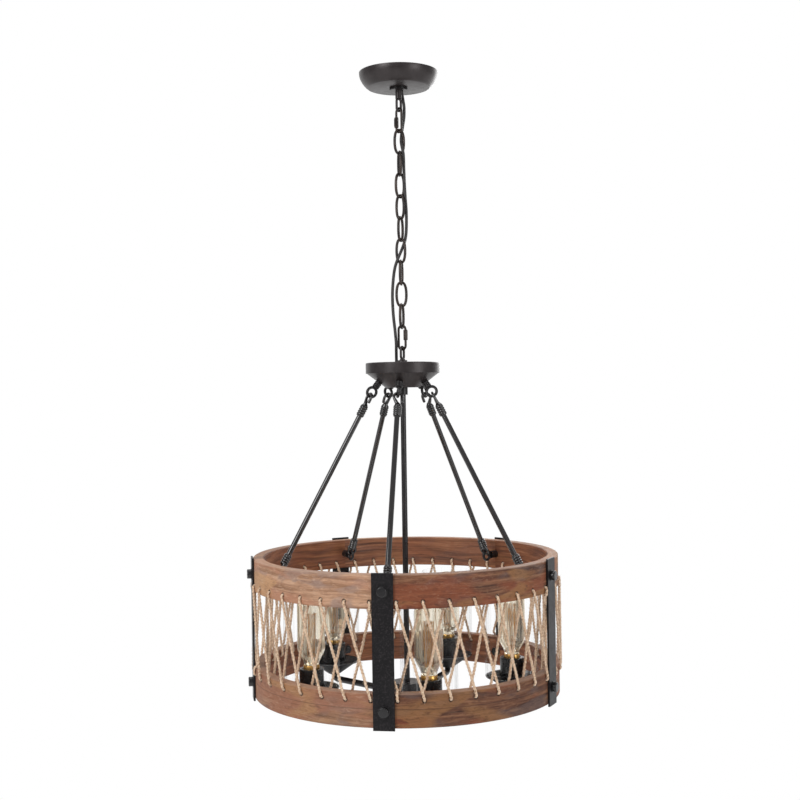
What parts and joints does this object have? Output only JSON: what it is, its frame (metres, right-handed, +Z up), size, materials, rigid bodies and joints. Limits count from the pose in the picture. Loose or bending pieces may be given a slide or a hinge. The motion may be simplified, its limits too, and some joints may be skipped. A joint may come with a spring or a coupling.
{
  "type": "wooden drum chandelier",
  "caption": "Hanging light: two wooden hoops laced with twine as an open drum, hooked rods, a chain with its power cord, a ceiling canopy, and candle-style bulbs in glass cylinders.",
  "frame": {"origin": "on the ceiling plane, at the centre of the mounting bar", "axes": "+Z up, -Y towards the viewer's side of the picture, +X to the viewer's right"},
  "size_m": [0.5104, 0.5117, 1.041],
  "materials": {
    "dark_bronze": "satin dark bronze",
    "black_iron": "satin black",
    "zinc_steel": "zinc plated",
    "wood": "aged, matt",
    "jute": "twisted twine",
    "clear_glass": "clear, polished",
    "amber_glass": "tinted bulb glass on a brass screw base",
    "cord_black": "matt cord jacket",
    "socket_black": "satin moulded",
    "connector_orange": "moulded",
    "lead_insulation": "insulated conductors"
  },
  "bodies": {
    "ceiling": {"ceiling_bar": "zinc_steel", "ceiling_nipple": "zinc_steel", "ceiling_nut": "zinc_steel", "ground_screw": "zinc_steel", "ceiling_loop": "dark_bronze", "supply_leads": "lead_insulation", "wire_nuts": "connector_orange", "power_cord": "cord_black"},
    "canopy": {"canopy": "dark_bronze", "collar_ring": "black_iron"},
    "upper_quick_link": {"upper_quick_link": "dark_bronze"},
    "upper_sleeve": {"upper_link_sleeve": "black_iron"},
    "link_1": {"chain_link_1": "dark_bronze"},
    "link_2": {"chain_link_2": "dark_bronze"},
    "link_3": {"chain_link_3": "dark_bronze"},
    "link_4": {"chain_link_4": "dark_bronze"},
    "link_5": {"chain_link_5": "dark_bronze"},
    "link_6": {"chain_link_6": "dark_bronze"},
    "link_7": {"chain_link_7": "dark_bronze"},
    "link_8": {"chain_link_8": "dark_bronze"},
    "link_9": {"chain_link_9": "dark_bronze"},
    "lower_quick_link": {"lower_quick_link": "dark_bronze"},
    "lower_sleeve": {"lower_link_sleeve": "black_iron"},
    "hub": {"hub_loop": "dark_bronze", "hub_cap": "dark_bronze", "hub_cone": "dark_bronze", "hub_nipple": "zinc_steel", "hub_nuts": "zinc_steel", "hub_grommet": "cord_black", "hub_eyes": "black_iron", "hub_eye_nuts": "zinc_steel", "hub_splices": "connector_orange", "centre_tube": "black_iron", "centre_collar": "black_iron", "canister": "black_iron", "canister_lid": "black_iron", "arms": "black_iron", "cups": "black_iron", "plates": "black_iron", "shades": "clear_glass", "sockets": "socket_black", "harness": "cord_black"},
    "drum": {"upper_ring": "wood", "lower_ring": "wood", "straps": "black_iron", "strap_bolts": "black_iron", "strap_eyes": "black_iron", "lower_nuts": "black_iron", "twine_a": "jute", "twine_b": "jute"},
    "rod_1": {"rod_1": "black_iron"},
    "rod_2": {"rod_2": "black_iron"},
    "rod_3": {"rod_3": "black_iron"},
    "rod_4": {"rod_4": "black_iron"},
    "rod_5": {"rod_5": "black_iron"},
    "bulb_1": {"bulb_1": "amber_glass"},
    "bulb_2": {"bulb_2": "amber_glass"},
    "bulb_3": {"bulb_3": "amber_glass"},
    "bulb_4": {"bulb_4": "amber_glass"},
    "bulb_5": {"bulb_5": "amber_glass"}
  },
  "joints": [
    {"name": "upper_quick_link_swing", "type": "hinge", "parent": "ceiling", "child": "upper_quick_link", "pos_m": [0, 0, -0.06315], "axis": [0.766, 0.6428, 0], "range_deg": [-8, 8]},
    {"name": "link_1_swing", "type": "hinge", "parent": "upper_quick_link", "child": "link_1", "pos_m": [0, 0, -0.09815], "axis": [0.6428, -0.766, 0], "range_deg": [-8, 8]},
    {"name": "link_2_swing", "type": "hinge", "parent": "link_1", "child": "link_2", "pos_m": [0, 0, -0.1339], "axis": [0.9397, 0.342, 0], "range_deg": [-8, 8]},
    {"name": "link_3_swing", "type": "hinge", "parent": "link_2", "child": "link_3", "pos_m": [0, 0, -0.1699], "axis": [-0.2588, 0.9659, 0], "range_deg": [-8, 8]},
    {"name": "link_4_swing", "type": "hinge", "parent": "link_3", "child": "link_4", "pos_m": [0, 0, -0.2059], "axis": [0.8192, 0.5736, 0], "range_deg": [-8, 8]},
    {"name": "link_5_swing", "type": "hinge", "parent": "link_4", "child": "link_5", "pos_m": [0, 0, -0.2419], "axis": [-0.7431, 0.6691, 0], "range_deg": [-8, 8]},
    {"name": "link_6_swing", "type": "hinge", "parent": "link_5", "child": "link_6", "pos_m": [0, 0, -0.2779], "axis": [0.4384, 0.8988, 0], "range_deg": [-8, 8]},
    {"name": "link_7_swing", "type": "hinge", "parent": "link_6", "child": "link_7", "pos_m": [0, 0, -0.3139], "axis": [-0.866, 0.5, 0], "range_deg": [-8, 8]},
    {"name": "link_8_swing", "type": "hinge", "parent": "link_7", "child": "link_8", "pos_m": [0, 0, -0.3499], "axis": [0.2419, 0.9703, 0], "range_deg": [-8, 8]},
    {"name": "link_9_swing", "type": "hinge", "parent": "link_8", "child": "link_9", "pos_m": [0, 0, -0.3859], "axis": [1, 0, 0], "range_deg": [-8, 8]},
    {"name": "lower_quick_link_swing", "type": "hinge", "parent": "link_9", "child": "lower_quick_link", "pos_m": [0, 0, -0.4219], "axis": [0.342, 0.9397, 0], "range_deg": [-8, 8]},
    {"name": "hub_swing", "type": "hinge", "parent": "lower_quick_link", "child": "hub", "pos_m": [0, 0, -0.45715], "axis": [-0.866, 0.5, 0], "range_deg": [-8, 8]},
    {"name": "upper_sleeve_turn", "type": "hinge", "parent": "upper_quick_link", "child": "upper_sleeve", "pos_m": [-0.00418, 0.00498, -0.0815], "axis": [0, 0, 1], "range_deg": [0, 1440]},
    {"name": "lower_sleeve_turn", "type": "hinge", "parent": "lower_quick_link", "child": "lower_sleeve", "pos_m": [0.00563, -0.00325, -0.4335], "axis": [0, 0, 1], "range_deg": [0, 1440]},
    {"name": "canopy_slide", "type": "slide", "parent": "ceiling", "child": "canopy", "axis": [0, 0, -1], "range_m": [0, 0.018], "deforming": ["power_cord"]},
    {"name": "drum_twist", "type": "hinge", "parent": "hub", "child": "drum", "pos_m": [0, 0, -0.479], "axis": [0, 0, 1], "range_deg": [-5, 5], "stiffness_Nm_per_rad": 1.129},
    {"name": "rod_1_swing", "type": "hinge", "parent": "hub", "child": "rod_1", "pos_m": [-0.00779, -0.05541, -0.53436], "axis": [-0.1227, -0.8728, 0.4724], "range_deg": [-3.6, 3.6]},
    {"name": "rod_2_swing", "type": "hinge", "parent": "hub", "child": "rod_2", "pos_m": [0.05029, -0.02453, -0.53436], "axis": [0.7922, -0.3864, 0.4724], "range_deg": [-3.6, 3.6]},
    {"name": "rod_3_swing", "type": "hinge", "parent": "hub", "child": "rod_3", "pos_m": [0.03887, 0.04025, -0.53436], "axis": [0.6122, 0.634, 0.4724], "range_deg": [-3.6, 3.6]},
    {"name": "rod_4_swing", "type": "hinge", "parent": "hub", "child": "rod_4", "pos_m": [-0.02627, 0.04941, -0.53436], "axis": [-0.4138, 0.7782, 0.4724], "range_deg": [-3.6, 3.6]},
    {"name": "rod_5_swing", "type": "hinge", "parent": "hub", "child": "rod_5", "pos_m": [-0.05511, -0.00972, -0.53436], "axis": [-0.868, -0.153, 0.4724], "range_deg": [-3.6, 3.6]},
    {"name": "bulb_1_unscrew", "type": "hinge", "parent": "hub", "child": "bulb_1", "pos_m": [0.03301, -0.16982, -0.973], "axis": [0, 0, 1], "range_deg": [0, 1080]},
    {"name": "bulb_2_unscrew", "type": "hinge", "parent": "hub", "child": "bulb_2", "pos_m": [0.17171, -0.02108, -0.973], "axis": [0, 0, 1], "range_deg": [0, 1080]},
    {"name": "bulb_3_unscrew", "type": "hinge", "parent": "hub", "child": "bulb_3", "pos_m": [0.07311, 0.15679, -0.973], "axis": [0, 0, 1], "range_deg": [0, 1080]},
    {"name": "bulb_4_unscrew", "type": "hinge", "parent": "hub", "child": "bulb_4", "pos_m": [-0.12652, 0.11799, -0.973], "axis": [0, 0, 1], "range_deg": [0, 1080]},
    {"name": "bulb_5_unscrew", "type": "hinge", "parent": "hub", "child": "bulb_5", "pos_m": [-0.15131, -0.08387, -0.973], "axis": [0, 0, 1], "range_deg": [0, 1080]}
  ],
  "couplings": [
    {"joint": "rod_1_swing", "follows": "drum_twist", "ratio": 0.6495},
    {"joint": "rod_2_swing", "follows": "drum_twist", "ratio": 0.6495},
    {"joint": "rod_3_swing", "follows": "drum_twist", "ratio": 0.6495},
    {"joint": "rod_4_swing", "follows": "drum_twist", "ratio": 0.6495},
    {"joint": "rod_5_swing", "follows": "drum_twist", "ratio": 0.6495}
  ]
}
